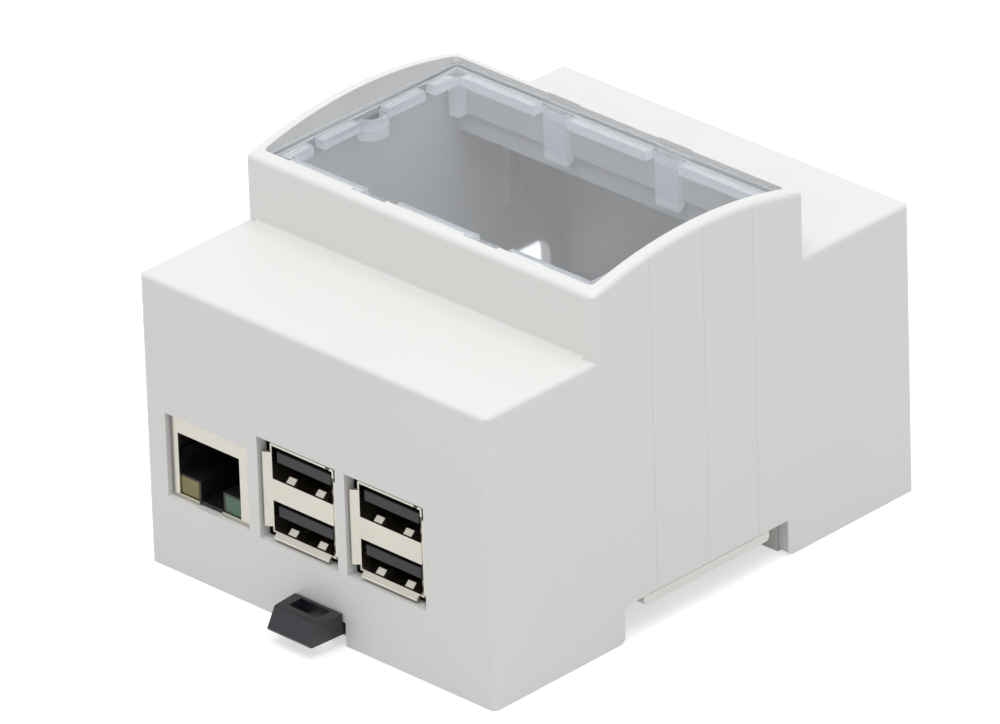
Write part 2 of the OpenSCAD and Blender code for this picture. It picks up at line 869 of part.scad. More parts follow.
module rail_clip() color("#3a3d43") {
    bevel = (lip_z - clip_z0) / 2;
    clip_grip();
    box([-clip_half, face_y - clip_gap - eps, clip_z0], [clip_half, nose_back_y, shank_z1]);
    along_x(clip_w)
        polygon([[nose_back_y - eps, clip_z0], [nose_y - bevel, clip_z0], [nose_y, clip_z0 + bevel],
            [nose_y, lip_z], [nose_back_y - eps, lip_z]]);
    for (mx = [0, 1])
        mirror([mx, 0, 0]) spring_bow();
}

// ---------- circuit board ----------

module circuit_board() color("#1d5a39")
    difference() {
        translate([board_x0 + board_w / 2, board_y0 + board_l / 2, 0])
            round_block([board_w, board_l], board_r, board_h, board_z1);
        for (u = hole_us, v = hole_vs)
            translate([board_x0 + u, board_y0 + v, board_h - past])
                cylinder(h = board_t + 2 * past, d = hole_d);
        on_board(header_u, header_v)
            header_cells()
                translate([0, 0, -board_t - past]) cylinder(h = board_t + 2 * past, d = pin_hole_d, $fn = 24);
    }

// Pan head screws through the board into the posts
module board_screws() color("#b8babd")
    for (u = hole_us, v = hole_vs)
        on_board(u, v)
            difference() {
                union() {
                    translate([0, 0, -screw_l]) cylinder(h = screw_l + eps, d = screw_d);
                    cylinder(h = screw_head_h * screw_brim, d = screw_head_d);
                    cylinder(h = screw_head_h, d = screw_head_d * screw_crown);
                }
                // cross recess
                for (turn = [0, 90])
                    rotate([0, 0, turn])
                        box([-recess_l / 2, -recess_w / 2, screw_head_h - recess_h],
                            [recess_l / 2, recess_w / 2, screw_head_h + past]);
            }

// ---------- network socket ----------
// Drawn with its middle at x = 0, its front at y = 0 and the board's top at z = 0

module at_network() translate([board_x0 + network_u, face_y + network_setback, board_z1]) children();

// Mouth of the network socket: a window with the latch's notch below it
module network_mouth() {
    translate([network_open_x0, lamp_z1])
        square([network_open_x1 - network_open_x0, network_open_z1 - lamp_z1]);
    translate([network_notch_x0, network_open_z0])
        square([network_notch_x1 - network_notch_x0, lamp_z1 - network_open_z0 + eps]);
}

module network_shell() color("#cfc8b8") at_network() {
    half = network_w / 2;
    difference() {
        box([-half, 0, 0], [half, network_l, network_h]);
        box([sheet - half, sheet, -past], [half - sheet, network_l - sheet, network_h - sheet]);
        // window over the mouth and the two lamps
        box([network_open_x0, -past, network_open_z0], [network_open_x1, sheet + past, network_open_z1]);
        box([network_notch_x0, -past, -past], [network_notch_x1, sheet + past, network_open_z1]);
    }
    // spring leaves that touch the plug's sides
    translate([network_open_x0, sheet - eps, leaf_z]) shield_leaf();
    translate([network_open_x1, sheet - eps, leaf_z]) mirror([1, 0, 0]) shield_leaf();
}

// One leaf, bent inwards from the edge of the mouth
module shield_leaf()
    linear_extrude(leaf_h)
        polygon([[-leaf_root, 0], [0, 0], [leaf_bend, leaf_l], [leaf_bend - leaf_t, leaf_l],
            [-leaf_root, sheet]]);

module network_insert() color("#1b1c1e") at_network() {
    half = network_w / 2 - sheet;
    difference() {
        box([-half, sheet, 0], [half, network_l - sheet, network_h - sheet]);
        translate([0, network_cavity_l / 2, 0]) along_y(network_cavity_l) network_mouth();
        // pockets for the two lamps
        for (span = [lamp_left, lamp_right])
            box([span[0], -past, network_open_z0], [span[1], lamp_setback + lamp_l, lamp_z1 - lamp_gap]);
        // room for the spring leaves
        for (edge = [network_open_x0, network_open_x1])
            box([edge - leaf_root - leaf_room, -past, leaf_z - leaf_room],
                [edge + leaf_root + leaf_room, leaf_l + past, leaf_z + leaf_h + leaf_room]);
    }
}

// Eight sprung wires that run down and back from the top of the mouth
module network_contacts() color("#caa45a") at_network()
    for (i = [0 : wire_n - 1])
        translate([(network_open_x0 + network_open_x1) / 2 + (i - (wire_n - 1) / 2) * wire_pitch, 0, 0])
            along_x(wire_t)
                polygon([[wire_front, network_open_z1], [wire_front + wire_bend, network_open_z1],
                    [wire_back, wire_z + wire_t], [wire_back, wire_z], [wire_back - wire_bend, wire_z],
                    [wire_front, network_open_z1 - wire_t]]);

module network_lamp(span) at_network()
    box([span[0], lamp_setback, network_open_z0], [span[1], lamp_setback + lamp_l, lamp_z1 - lamp_gap]);

module network_lamp_left() color("#b9a637") network_lamp(lamp_left);

module network_lamp_right() color("#3f8f5b") network_lamp(lamp_right);

// ---------- stacked sockets ----------
// Drawn with the middle at x = 0, the lips' front at y = 0 and the board's top at z = 0

module at_stack(u) translate([board_x0 + u, face_y + stack_setback, board_z1]) children();

// One flared lip, drawn in the plane of its offset and its depth
module lip_section(flare)
    polygon([[-sheet, lip_depth], [flare - sheet, 0], [flare, 0], [flare, sheet],
        [eps, lip_depth + sheet], [-sheet, lip_depth + sheet]]);

module side_lips()
    for (mx = [0, 1])
        mirror([mx, 0, 0])
            translate([stack_half, 0, stack_foot + side_lip_low])
                linear_extrude(stack_top - side_lip_high - stack_foot - side_lip_low) lip_section(flare_u);

module end_lip()
    along_x(2 * (stack_half - end_lip_side)) rotate(90) mirror([0, 1]) lip_section(flare_z);

module end_lips() {
    translate([0, 0, stack_top]) end_lip();
    translate([0, 0, stack_foot]) mirror([0, 0, 1]) end_lip();
}

// Sheet metal shell: a folded box, the plate between the ports, springs and flared lips
module stack_shell() color("#c9c3b8") {
    inside = stack_half - sheet;
    difference() {
        box([-stack_half, lip_depth, stack_foot], [stack_half, stack_l, stack_top]);
        box([-inside, lip_depth - past, stack_foot + sheet], [inside, stack_l - sheet, stack_top - sheet]);
        stack_foot_neck();
    }
    difference() {
        box([-inside - eps, lip_depth, divider_z0], [inside + eps, divider_l, divider_z1]);
        box([-inside - past, lip_depth + sheet, divider_z0 + sheet],
            [inside + past, divider_l + past, divider_z1 - sheet]);
    }
    side_lips();
    end_lips();
    // leaf springs on the floor of each port
    for (floor_z = port_floors, x = [-spring_x, spring_x])
        translate([x, 0, floor_z])
            along_x(spring_w)
                polygon([[spring_y0, -eps], [spring_y1, spring_rise], [spring_y2, spring_rise],
                    [spring_y3, -eps]]);
}

// Neck between the insert and its foot, through the shell's floor
module stack_foot_neck()
    box([foot_inset - stack_half, divider_l, stack_foot - eps],
        [stack_half - foot_inset, stack_l - foot_inset, stack_foot + sheet + eps]);

module stack_insert() color("#2b3138") {
    half = stack_half - sheet;
    stack_foot_neck();
    // block behind the ports, and the tongue of each port
    box([-half, divider_l, port_floors[0]], [half, stack_l - sheet, port_ceilings[1]]);
    for (top = port_ceilings)
        box([-tongue_w / 2, tongue_tip, top - tongue_gap - tongue_t],
            [tongue_w / 2, divider_l + eps, top - tongue_gap]);
    // foot on the board, under the shell
    box([-half, board_front - stack_setback + foot_gap, 0], [half, stack_l, stack_foot]);
}

// Four contacts under each tongue; the two in the middle stand closer
module stack_contacts() color("#c9a55c")
    for (top = port_ceilings, side = [-1, 1], x = [contact_mid, contact_mid + contact_pitch]) {
        under_z = top - tongue_gap - tongue_t;
        start = tongue_tip + contact_start;
        end = divider_l - contact_end;
        translate([side * x, 0, 0])
            along_x(contact_w)
                polygon([[start, under_z], [start + contact_slope, under_z - contact_t],
                    [end - contact_slope, under_z - contact_t], [end, under_z]]);
    }

module left_port_shell() at_stack(left_u) stack_shell();

module left_port_insert() at_stack(left_u) stack_insert();

module left_port_contacts() at_stack(left_u) stack_contacts();

module right_port_shell() at_stack(right_u) stack_shell();

module right_port_insert() at_stack(right_u) stack_insert();

module right_port_contacts() at_stack(right_u) stack_contacts();

// ---------- side connectors ----------
// Drawn with the mouth at x = 0 looking to -X, the middle at y = 0 and the board's top at z = 0

module at_side(v, stand) translate([board_x0 - stand, board_y0 + v, board_z1]) children();

// Section of a plug socket, with its two lower corners cut off
module plug_section(width, height, cut, shoulder, inset) {
    half = width / 2 - inset;
    polygon([[cut - half, inset], [half - cut, inset], [half, inset + shoulder], [half, height - inset],
        [-half, height - inset], [-half, inset + shoulder]]);
}

module video_section(inset) plug_section(video_w, video_h, video_cut, video_shoulder, inset);

module power_section(inset) plug_section(power_w, power_h, power_cut_side, power_shoulder, inset);

module video_shell() color("#c3c4c6") at_side(video_v, video_over)
    difference() {
        translate([video_l / 2, 0, 0]) along_x(video_l) video_section(0);
        translate([video_l / 2 - sheet, 0, 0]) along_x(video_l) video_section(sheet);
    }

module video_insert() color("#17181a") at_side(video_v, video_over) {
    translate([video_l - (video_back + sheet) / 2, 0, 0]) along_x(video_back - sheet) video_section(sheet);
    box([tongue_inset, -video_tongue_w / 2, video_tongue_z],
        [video_l - video_back + eps, video_tongue_w / 2, video_tongue_z + video_tongue_t]);
}

module power_shell() color("#c3c4c6") at_side(power_v, power_over)
    difference() {
        translate([power_l / 2, 0, 0]) along_x(power_l) power_section(0);
        translate([power_l / 2 - sheet, 0, 0]) along_x(power_l) power_section(sheet);
    }

module power_insert() color("#17181a") at_side(power_v, power_over) {
    translate([power_l - (power_block + sheet) / 2, 0, 0]) along_x(power_block - sheet) power_section(sheet);
    box([tongue_inset, -power_tongue_w / 2, power_tongue_z],
        [power_l - power_block + eps, power_tongue_w / 2, power_tongue_z + power_tongue_t]);
}

module audio_bore(d, x0, x1) translate([x0, 0, audio_h / 2]) rotate([0, 90, 0]) cylinder(h = x1 - x0, d = d);

// Block with a sleeve that reaches through the end wall
module audio_jack() color("#1c1d1f") at_side(audio_v, 0)
    difference() {
        union() {
            box([0, -audio_w / 2, 0], [audio_l, audio_w / 2, audio_h]);
            audio_bore(sleeve_d, -sleeve_l, eps);
        }
        audio_bore(audio_bore_d, -sleeve_l - past, audio_l - bore_back);
    }

// ---------- header, chips and small parts ----------

// Places its children at each pin of the header
module header_cells() {
    for (i = [0 : header_n - 1], row = [-1, 1])
        translate([row * header_pitch / 2, (i - (header_n - 1) / 2) * header_pitch, 0]) children();
}

module header_body() color("#151617") on_board(header_u, header_v)
    difference() {
        header_cells() linear_extrude(header_h) scale(header_pitch / 2) polygon(header_cell);
        header_cells()
            box([-pin_side / 2, -pin_side / 2, -past], [pin_side / 2, pin_side / 2, header_h + past]);
    }

module header_pins() color("#d0ab58") on_board(header_u, header_v)
    header_cells()
        box([-pin_side / 2, -pin_side / 2, -board_t - pin_below],
            [pin_side / 2, pin_side / 2, pin_l - board_t - pin_below]);

module chip(side, h) box([-side / 2, -side / 2, 0], [side / 2, side / 2, h]);

module processor_chip() color("#202123") on_board(processor_u, processor_v) {
    chip(processor_side, processor_base_h);
    chip(processor_side - 2 * processor_step, processor_h);
}

// Leads of a flat pack, on all four sides of a chip
module leads(side)
    for (turn = [0 : 90 : 270], i = [0 : lead_n - 1])
        rotate([0, 0, turn])
            translate([side / 2, (i - (lead_n - 1) / 2) * lead_pitch, 0])
                along_y(lead_w)
                    polygon([[-eps, lead_z], [lead_knee, lead_z], [lead_foot, 0], [lead_l, 0],
                        [lead_l, lead_t], [lead_foot + lead_t, lead_t],
                        [lead_knee + lead_t / 2, lead_z + lead_t], [-eps, lead_z + lead_t]]);

module network_chip() color("#202123") on_board(network_chip_u, network_chip_v) {
    translate([0, 0, chip_lift]) chip(network_chip_side, network_chip_h - chip_lift);
    chip(network_chip_side - 2 * chip_foot, 2 * chip_lift);
    leads(network_chip_side);
}

module supply_chip() color("#202123") on_board(supply_chip_u, supply_chip_v)
    chip(supply_chip_side, supply_chip_h);

// Upright ribbon connector: a slot for the ribbon, and notches at the ends for its latch
module ribbon_connector() {
    half = ribbon_l / 2;
    difference() {
        box([-half, -ribbon_t / 2, 0], [half, ribbon_t / 2, ribbon_h]);
        box([ribbon_wall - half, ribbon_slot_mid - ribbon_slot_w, ribbon_wall],
            [half - ribbon_wall, ribbon_slot_mid, ribbon_h + past]);
        for (mx = [0, 1])
            mirror([mx, 0, 0])
                box([half - latch_notch, ribbon_t / 2 - latch_notch, ribbon_h - 2 * latch_h],
                    [half + past, ribbon_t / 2 + past, ribbon_h + past]);
    }
}

module camera_connector() color("#e3dfd3") on_board(camera_u, camera_v) ribbon_connector();

module display_connector() color("#e3dfd3") on_board(display_u, display_v) ribbon_connector();

// Memory card slot under the board
module card_slot() color("#b9bbbd")
    translate([board_x0 + card_u, board_y0 + card_v, board_h - card_h])
        difference() {
            chip(card_side, card_h);
            box([-card_mouth_w / 2, card_back - card_side / 2, card_mouth_z0],
                [card_mouth_w / 2, card_side, card_mouth_z1]);
        }

module supply_capacitor() color("#c8cacc") on_board(capacitor_u, capacitor_v) {
    chip(capacitor_base, capacitor_base_h);
    translate([0, 0, capacitor_base_h - eps]) cylinder(h = capacitor_h, d = capacitor_d);
}

module clock_crystal() color("#d3d0c2") on_board(crystal_u, crystal_v)
    round_block([crystal_w, crystal_l], crystal_r, 0, crystal_h);

// Two rows of ceramic capacitors, at a distance on each side of a chip
module capacitor_rows(distance, count)
    for (x = [-distance, distance], i = [0 : count - 1])
        translate([x, (i - (count - 1) / 2) * cap_pitch, 0])
            box([-cap_w / 2, -cap_l / 2, 0], [cap_w / 2, cap_l / 2, cap_h]);

module chip_capacitors() color("#a58b6a") {
    on_board(processor_u, processor_v) capacitor_rows(processor_side / 2 + cap_off_processor, 5);
    on_board(network_chip_u, network_chip_v) capacitor_rows(network_chip_side / 2 + cap_off_network, 4);
}

module status_lamps() color("#9fae93")
    for (u = [status_u, status_u - status_pitch])
        on_board(u, status_v) box([-status_w / 2, -status_l / 2, 0], [status_w / 2, status_l / 2, status_h]);

upper_cover();
base();
window_panel();
rail_clip();
circuit_board();
board_screws();
network_shell();
network_insert();
network_contacts();
network_lamp_left();
network_lamp_right();
left_port_shell();
left_port_insert();
left_port_contacts();
right_port_shell();
right_port_insert();
right_port_contacts();
video_shell();
video_insert();
power_shell();
power_insert();
audio_jack();
header_body();
header_pins();
processor_chip();
network_chip();
supply_chip();
camera_connector();
display_connector();
card_slot();
supply_capacitor();
clock_crystal();
chip_capacitors();
status_lamps();
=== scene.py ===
"""Dresses the rail mounted circuit enclosure: mouldings, clear window, sockets, board, floor, light and camera."""

import json

import bpy
from mathutils import Matrix, Vector


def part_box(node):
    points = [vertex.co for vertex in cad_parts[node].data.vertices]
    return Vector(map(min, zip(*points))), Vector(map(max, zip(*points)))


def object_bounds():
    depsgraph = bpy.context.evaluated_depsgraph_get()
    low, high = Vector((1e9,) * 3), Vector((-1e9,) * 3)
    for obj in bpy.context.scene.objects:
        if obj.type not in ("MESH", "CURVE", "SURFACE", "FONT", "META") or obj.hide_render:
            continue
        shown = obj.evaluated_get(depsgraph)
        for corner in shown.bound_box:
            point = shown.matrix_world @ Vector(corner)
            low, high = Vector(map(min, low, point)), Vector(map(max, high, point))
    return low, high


MM = 0.001

# The sockets of a Mix node that mixes two colours: its share of the second, the colours, and what comes out.
SHARE, FIRST, SECOND, MIXED = 0, 6, 7, 2

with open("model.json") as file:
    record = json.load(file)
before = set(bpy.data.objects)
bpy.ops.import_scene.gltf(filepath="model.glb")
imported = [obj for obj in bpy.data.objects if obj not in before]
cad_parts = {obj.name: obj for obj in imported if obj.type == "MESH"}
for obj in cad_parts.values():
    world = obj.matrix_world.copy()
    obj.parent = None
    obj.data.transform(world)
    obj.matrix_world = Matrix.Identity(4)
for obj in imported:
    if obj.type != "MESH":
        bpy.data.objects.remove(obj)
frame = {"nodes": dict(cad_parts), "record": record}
cad_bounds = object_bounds()
feet_z = cad_bounds[0][2]


# ---------------------------------------------------------------- small tools


def linear(colour):
    """An sRGB hex colour as the linear RGBA that a shader socket takes."""
    parts = [int(colour[i : i + 2], 16) / 255 for i in (1, 3, 5)]
    return tuple(c / 12.92 if c <= 0.04045 else ((c + 0.055) / 1.055) ** 2.4 for c in parts) + (1.0,)


def add(tree, kind, settings=None):
    """Adds a node. A setting that is a socket is linked, one that names an input is set, any other is a property."""
    node = tree.nodes.new(kind)
    for key, value in (settings or {}).items():
        if isinstance(value, bpy.types.NodeSocket):
            tree.links.new(value, node.inputs[key])
        elif isinstance(key, int) or key in node.inputs:
            node.inputs[key].default_value = value
        else:
            setattr(node, key, value)
    return node


def per_mm(size):
    """The scale of a texture whose features are so many millimetres across."""
    return 1 / (size * MM)


def new_finish(name):
    """An empty node material, and the object coordinates that its patterns are laid out in."""
    material = bpy.data.materials.new(name)
    material.use_nodes = True
    tree = material.node_tree
    tree.nodes.clear()
    return material, tree, add(tree, "ShaderNodeTexCoord").outputs["Object"]


def set_ramp(ramp, stops):
    """Gives a colour ramp its stops, each a position and a hex colour."""
    elements = ramp.color_ramp.elements
    while len(elements) < len(stops):
        elements.new(0.5)
    for element, (position, colour) in zip(elements, stops):
        element.position = position
        element.color = linear(colour)


# ---------------------------------------------------------------- mouldings

# The cover's mould has inserts at the right end wall. Where they meet, at these places across the rail, they leave
# hairline grooves a fifth of a millimetre wide, whose shade is painted into the colour as faint dark lines. They lie
# in the wall's outermost tenth.
insert_seams = (-10.5 * MM, 0.7 * MM, 11.4 * MM)
hairline_half = 0.11 * MM
# The share and colour of the painted shade on the hairlines.
hairline_shade_share = 0.09
hairline_painted_shade = "#101010"
end_wall_skin = 0.1 * MM

# How far the gloss of a moulding strays to either side of its roughness, pit by pit.
pitted_gloss = 0.06


def hairlines(tree, place, across):
    """1 on the hairlines that run up the right end wall, 0 elsewhere."""
    where = add(tree, "ShaderNodeSeparateXYZ", {"Vector": place})
    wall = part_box("upper_cover")[1][0] - end_wall_skin
    on_line = 0.0
    for y in across:
        near = add(tree, "ShaderNodeMath", {"operation": "COMPARE", 0: where.outputs["Y"], 1: y, 2: hairline_half})
        on_line = add(tree, "ShaderNodeMath", {"operation": "MAXIMUM", 0: near.outputs[0], 1: on_line}).outputs[0]
    on_wall = add(tree, "ShaderNodeMath", {"operation": "GREATER_THAN", 0: where.outputs["X"], 1: wall})
    return add(tree, "ShaderNodeMath", {"operation": "MULTIPLY", 0: on_line, 1: on_wall.outputs[0]}).outputs[0]


def moulded_plastic(name, colour, worn_colour, grain, depth, roughness, ior, tone, seams=()):
    """Injection-moulded plastic: an eroded-mould grain, faint broad drift of tone, and gloss that breaks up with the
    grain. The grain, its depth and the width of the drift are in millimetres. A real mould's grain is a few
    hundredths across, too fine to show, so it is drawn a few tenths across."""
    material, tree, place = new_finish(name)
    drift = add(tree, "ShaderNodeTexNoise", {"Vector": place, "Scale": per_mm(tone), "Detail": 3.0})
    skin = add(
        tree,
        "ShaderNodeMix",
        {"data_type": "RGBA", SHARE: drift.outputs["Fac"], FIRST: linear(colour), SECOND: linear(worn_colour)},
    )
    pits = add(tree, "ShaderNodeTexNoise", {"Vector": place, "Scale": per_mm(grain), "Detail": 4.0, "Roughness": 0.6})
    bump = add(tree, "ShaderNodeBump", {"Height": pits.outputs["Fac"], "Distance": depth * MM, "Strength": 0.6})
    gloss = add(
        tree,
        "ShaderNodeMapRange",
        {"Value": pits.outputs["Fac"], "To Min": roughness - pitted_gloss, "To Max": roughness + pitted_gloss},
    )
    # Painted shade: the hairline grooves are darkened in the colour instead of shaded by a bump.
    if seams:
        shade = add(
            tree,
            "ShaderNodeMath",
            {"operation": "MULTIPLY", 0: hairlines(tree, place, seams), 1: hairline_shade_share},
        )
        skin = add(
            tree,
            "ShaderNodeMix",
            {"data_type": "RGBA", SHARE: shade.outputs[0], FIRST: skin.outputs[MIXED], SECOND: linear(hairline_painted_shade)},
        )
    shader = add(
        tree,
        "ShaderNodeBsdfPrincipled",
        {
            "Base Color": skin.outputs[MIXED],
            "Roughness": gloss.outputs["Result"],
            "Normal": bump.outputs["Normal"],
            "IOR": ior,
        },
    )
    add(tree, "ShaderNodeOutputMaterial", {"Surface": shader.outputs[0]})
    return material


# ---------------------------------------------------------------- sheet metal

# Rolling draws the streaks out to this many times their width, and the gloss strays this far under and over the
# sheet's roughness from streak to streak.
streak_length = 30
streak_gloss = (0.03, 0.04)


def sheet_metal(name, colour, shade, roughness, streak, along, depth=0.0006):
    """Plated sheet: fine rolling streaks along one axis and a little cloudiness in the plating. The width of the
    streaks and their depth are in millimetres. Real streaks are some hundredths wide, and are drawn coarser."""
    material, tree, place = new_finish(name)
    stretch = [per_mm(streak)] * 3
    stretch["xyz".index(along)] /= streak_length
    laid = add(tree, "ShaderNodeMapping", {"Vector": place, "Scale": stretch})
    streaks = add(tree, "ShaderNodeTexNoise", {"Vector": laid.outputs[0], "Scale": 1.0, "Detail": 3.0})
    cloud = add(tree, "ShaderNodeTexNoise", {"Vector": place, "Scale": per_mm(3.0), "Detail": 2.0})
    skin = add(
        tree,
        "ShaderNodeMix",
        {"data_type": "RGBA", SHARE: cloud.outputs["Fac"], FIRST: linear(colour), SECOND: linear(shade)},
    )
    gloss = add(
        tree,
        "ShaderNodeMapRange",
        {
            "Value": streaks.outputs["Fac"],
            "To Min": roughness - streak_gloss[0],
            "To Max": roughness + streak_gloss[1],
        },
    )
    bump = add(tree, "ShaderNodeBump", {"Height": streaks.outputs["Fac"], "Distance": depth * MM, "Strength": 0.5})
    shader = add(
        tree,
        "ShaderNodeBsdfPrincipled",
        {
            "Base Color": skin.outputs[MIXED],
            "Metallic": 1.0,
            "Roughness": gloss.outputs["Result"],
            "Normal": bump.outputs["Normal"],
        },
    )
    add(tree, "ShaderNodeOutputMaterial", {"Surface": shader.outputs[0]})
    return material


# ---------------------------------------------------------------- the clear window

# How milky the window is, from black for polished to white. Each zone starts at a depth under the top face, in
# millimetres, and reaches up to the next one: hook tips, legs, which let more light by, ribs, and the sheet itself.
window_depth = 10.0
milkiness = [(10.0, "#FAFAFA"), (8.6, "#D8D8D8"), (3.1, "#FAFAFA"), (1.55, "#000000")]

# The seat that rests on the cover's ledge reaches from the ribs to the edge, and is milky below this depth.
seat_width_x = 0.85 * MM
seat_width_y = 0.75 * MM
seat_depth = 0.3 * MM

# Most of the light comes back from a milky face, and this share of it goes on through.
light_through = 0.15


def moulded_polycarbonate(name):
    """Clear sheet with polished faces and a cold tint. Its ribs, legs, edges and seat are left as the tool eroded
    them, so they scatter light and look milky. Light passes the sheet and falls on the inside."""
    material, tree, place = new_finish(name)
    ripple = add(tree, "ShaderNodeTexNoise", {"Vector": place, "Scale": per_mm(14), "Detail": 1.0})
    bump = add(tree, "ShaderNodeBump", {"Height": ripple.outputs["Fac"], "Distance": 0.01 * MM, "Strength": 0.3})
    polished = add(
        tree,
        "ShaderNodeBsdfPrincipled",
        {
            "Base Color": linear("#EEF0F6"),
            "Roughness": 0.03,
            "IOR": 1.585,
            "Transmission Weight": 1.0,
            "Normal": bump.outputs["Normal"],
        },
    )
    back = add(tree, "ShaderNodeBsdfDiffuse", {"Color": linear("#FBFCFD"), "Roughness": 0.3})
    onward = add(tree, "ShaderNodeBsdfTranslucent", {"Color": linear("#F2F6FA")})
    milky = add(tree, "ShaderNodeMixShader", {0: light_through, 1: back.outputs[0], 2: onward.outputs[0]})
    where = add(tree, "ShaderNodeSeparateXYZ", {"Vector": place})
    edge_x, edge_y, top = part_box("window_panel")[1]
    rise = add(
        tree,
        "ShaderNodeMapRange",
        {"Value": where.outputs["Z"], "From Min": top - window_depth * MM, "From Max": top},
    )
    eroded = add(tree, "ShaderNodeValToRGB", {"Fac": rise.outputs[0]})
    eroded.color_ramp.interpolation = "CONSTANT"
    set_ramp(eroded, [(1 - depth / window_depth, colour) for depth, colour in milkiness])
    share = eroded.outputs[0]
    under = add(tree, "ShaderNodeMath", {"operation": "LESS_THAN", 0: where.outputs["Z"], 1: top - seat_depth})
    for axis, inner_edge in (("X", edge_x - seat_width_x), ("Y", edge_y - seat_width_y)):
        off_middle = add(tree, "ShaderNodeMath", {"operation": "ABSOLUTE", 0: where.outputs[axis]})
        at_edge = add(tree, "ShaderNodeMath", {"operation": "GREATER_THAN", 0: off_middle.outputs[0], 1: inner_edge})
        seat = add(tree, "ShaderNodeMath", {"operation": "MULTIPLY", 0: at_edge.outputs[0], 1: under.outputs[0]})
        share = add(tree, "ShaderNodeMath", {"operation": "MAXIMUM", 0: share, 1: seat.outputs[0]}).outputs[0]
    window = add(tree, "ShaderNodeMixShader", {0: share, 1: polished.outputs[0], 2: milky.outputs[0]})
    shadow = add(tree, "ShaderNodeBsdfTransparent", {"Color": linear("#F4F8FB")})
    path = add(tree, "ShaderNodeLightPath")
    lit = add(
        tree, "ShaderNodeMixShader", {0: path.outputs["Is Shadow Ray"], 1: window.outputs[0], 2: shadow.outputs[0]}
    )
    add(tree, "ShaderNodeOutputMaterial", {"Surface": lit.outputs[0]})
    return material


# ---------------------------------------------------------------- board and lamps


def solder_resist(name):
    """Glossy green resist over etched copper: paler tracks on a grid, seen through the lacquer. Real tracks are a
    fifth of a millimetre apart, and are drawn three times as coarse to show."""
    material, tree, place = new_finish(name)
    area = add(tree, "ShaderNodeTexVoronoi", {"Vector": place, "Scale": per_mm(11), "distance": "CHEBYCHEV"})
    tracks = add(
        tree,
        "ShaderNodeTexBrick",
        {
            "Vector": place,
            "Scale": per_mm(1.0),
            "Color1": linear("#1C5A3C"),
            "Color2": linear("#20623F"),
            "Mortar": linear("#123F2A"),
            "Mortar Size": 0.16,
            "Brick Width": 7.0,
            "Row Height": 0.62,
        },
    )
    skin = add(
        tree,
        "ShaderNodeMix",
        {
            "data_type": "RGBA",
            SHARE: area.outputs["Distance"],
            FIRST: linear("#17492F"),
            SECOND: tracks.outputs["Color"],
        },
    )
    bump = add(tree, "ShaderNodeBump", {"Height": tracks.outputs["Fac"], "Distance": 0.03 * MM, "Strength": 0.5})
    shader = add(
        tree,
        "ShaderNodeBsdfPrincipled",
        {"Base Color": skin.outputs[MIXED], "Roughness": 0.24, "IOR": 1.52, "Normal": bump.outputs["Normal"]},
    )
    add(tree, "ShaderNodeOutputMaterial", {"Surface": shader.outputs[0]})
    return material


def tinted_epoxy(name, colour, deep):
    """Cast lamp epoxy: milky and lightly tinted, with light scattered inside."""
    material, tree, place = new_finish(name)
    cloud = add(tree, "ShaderNodeTexNoise", {"Vector": place, "Scale": per_mm(1.2), "Detail": 2.0})
    skin = add(
        tree,
        "ShaderNodeMix",
        {"data_type": "RGBA", SHARE: cloud.outputs["Fac"], FIRST: linear(colour), SECOND: linear(deep)},
    )
    shader = add(
        tree,
        "ShaderNodeBsdfPrincipled",
        {
            "Base Color": skin.outputs[MIXED],
            "Roughness": 0.22,
            "IOR": 1.54,
            "Subsurface Weight": 0.4,
            "Subsurface Scale": 0.8 * MM,
        },
    )
    add(tree, "ShaderNodeOutputMaterial", {"Surface": shader.outputs[0]})
    return material


# ---------------------------------------------------------------- the finish in each material slot

